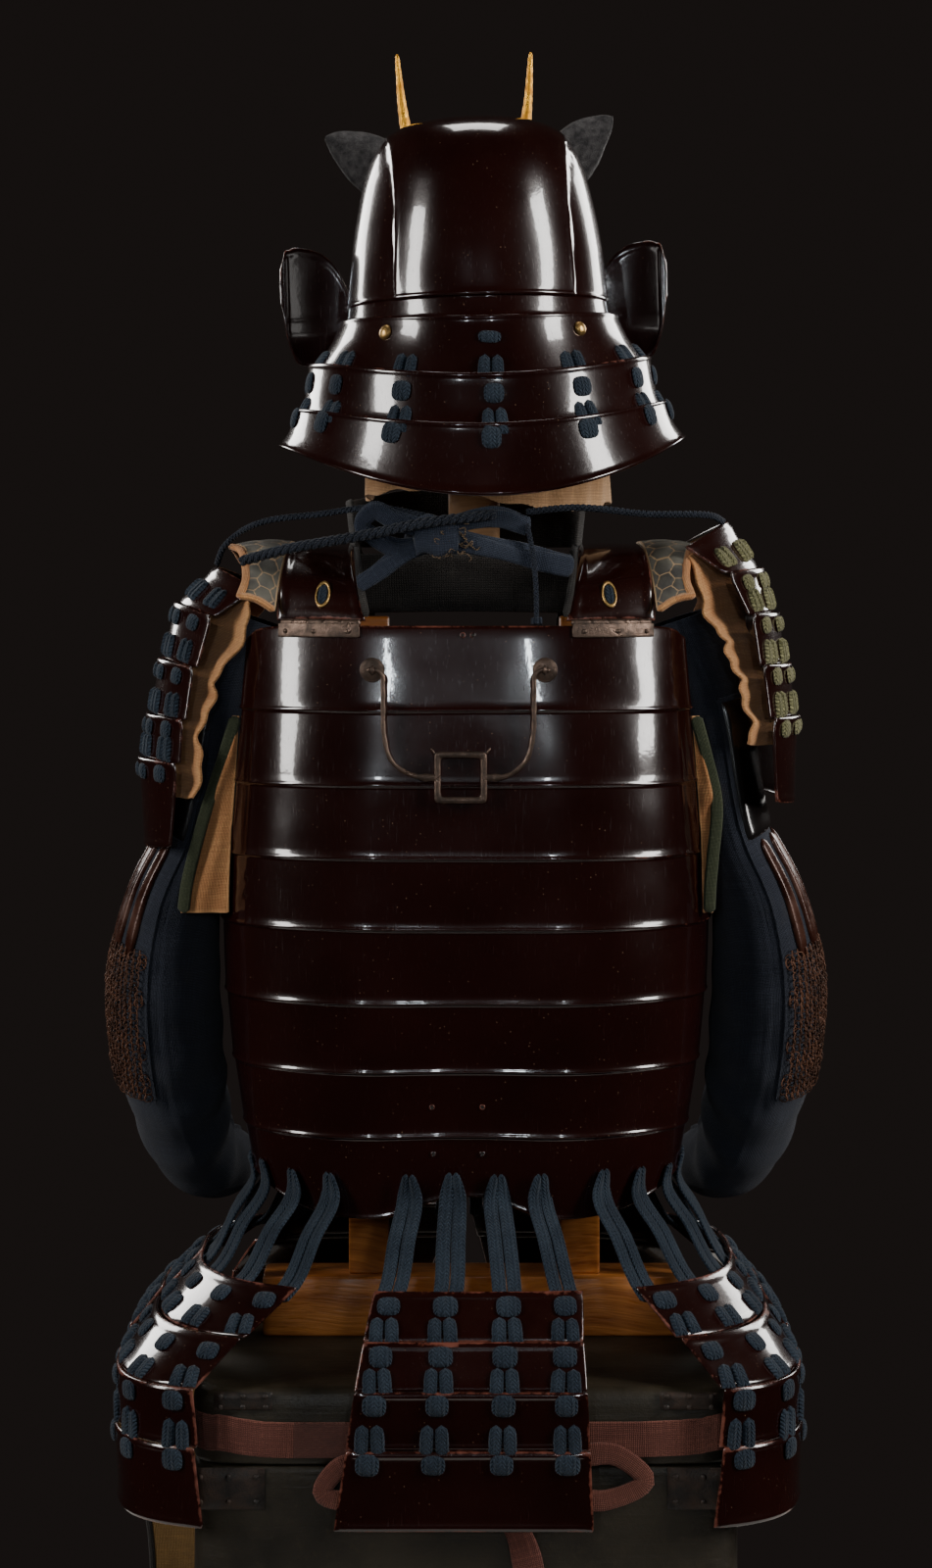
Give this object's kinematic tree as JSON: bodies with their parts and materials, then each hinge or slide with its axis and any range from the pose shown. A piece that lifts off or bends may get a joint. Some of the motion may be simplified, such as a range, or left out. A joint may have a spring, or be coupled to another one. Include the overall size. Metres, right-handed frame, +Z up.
{
  "type": "samurai armour on a stand",
  "caption": "Samurai armour with helmet, plate cuirass, laced shoulder guards, sleeves and skirt, set up on a wooden stand over a lidded storage chest.",
  "frame": {"origin": "under the middle of the whole set, at floor level", "axes": "+Z up; the armour's back faces -Y and its front faces +Y; its left is -X"},
  "size_m": [0.6148, 0.4422, 1.5646],
  "materials": {
    "red_lacquer": "gloss lacquer over iron",
    "rough_iron": "rough dark",
    "gold": "worn gold lacquer",
    "iron": "rusted",
    "blue_cord": "braided",
    "blue_hemp": "plain weave",
    "tan_hemp": "plain weave",
    "grey_leather": "worn",
    "red_hemp": "plain weave",
    "wood": "varnished",
    "black_cloth": "matte",
    "chest_lacquer": "dull lacquer"
  },
  "bodies": {
    "root": {"back_plate": "red_lacquer", "front_plate": "red_lacquer", "shoulder_strap_right": "red_lacquer", "shoulder_strap_left": "red_lacquer", "hinge_right": "iron", "hinge_left": "iron", "stud_left": "iron", "stud_right": "iron", "helmet_bowl": "red_lacquer", "neck_guard_plate_1": "red_lacquer", "neck_guard_plate_2": "red_lacquer", "neck_guard_plate_3": "red_lacquer", "turnback_left": "red_lacquer", "turnback_right": "red_lacquer", "helmet_peak": "red_lacquer", "ear_left": "rough_iron", "ear_right": "rough_iron", "horn_left": "gold", "horn_right": "gold", "helmet_liner": "tan_hemp", "stand_frame": "wood", "shoulder_bar": "black_cloth", "head_block": "wood", "chest_body": "chest_lacquer", "chest_lid": "chest_lacquer", "sleeve_right": "blue_hemp", "sleeve_left": "blue_hemp", "arm_guard_right": "rough_iron", "arm_guard_left": "rough_iron", "underarm_right": "tan_hemp", "underarm_left": "tan_hemp", "shoulder_guard_right": "red_lacquer", "shoulder_guard_left": "red_lacquer", "guard_lining_right": "tan_hemp", "guard_lining_left": "tan_hemp", "shoulder_pad_right": "grey_leather", "shoulder_pad_left": "grey_leather", "tasset_1": "red_lacquer", "lacing_1": "blue_cord", "tasset_2": "red_lacquer", "lacing_2": "blue_cord", "tasset_3": "red_lacquer", "lacing_3": "blue_cord", "tasset_4": "red_lacquer", "lacing_4": "blue_cord", "tasset_5": "red_lacquer", "lacing_5": "blue_cord", "tasset_6": "red_lacquer", "lacing_6": "blue_cord", "tasset_7": "red_lacquer", "lacing_7": "blue_cord", "sash": "red_hemp", "thigh_guard": "tan_hemp", "throat_guard": "black_cloth", "cord_left_upper": "blue_cord", "cord_left_lower": "blue_cord", "cord_right": "blue_cord", "cord_hanging": "blue_cord", "nape_knot": "blue_cord"},
    "bracket": {"bracket": "iron"}
  },
  "joints": [
    {"name": "bracket_swing", "type": "hinge", "parent": "root", "child": "bracket", "pos_m": [-0.00427, -0.13624, 1.0193], "axis": [-1, 0, 0], "range_deg": [0, 90]}
  ]
}
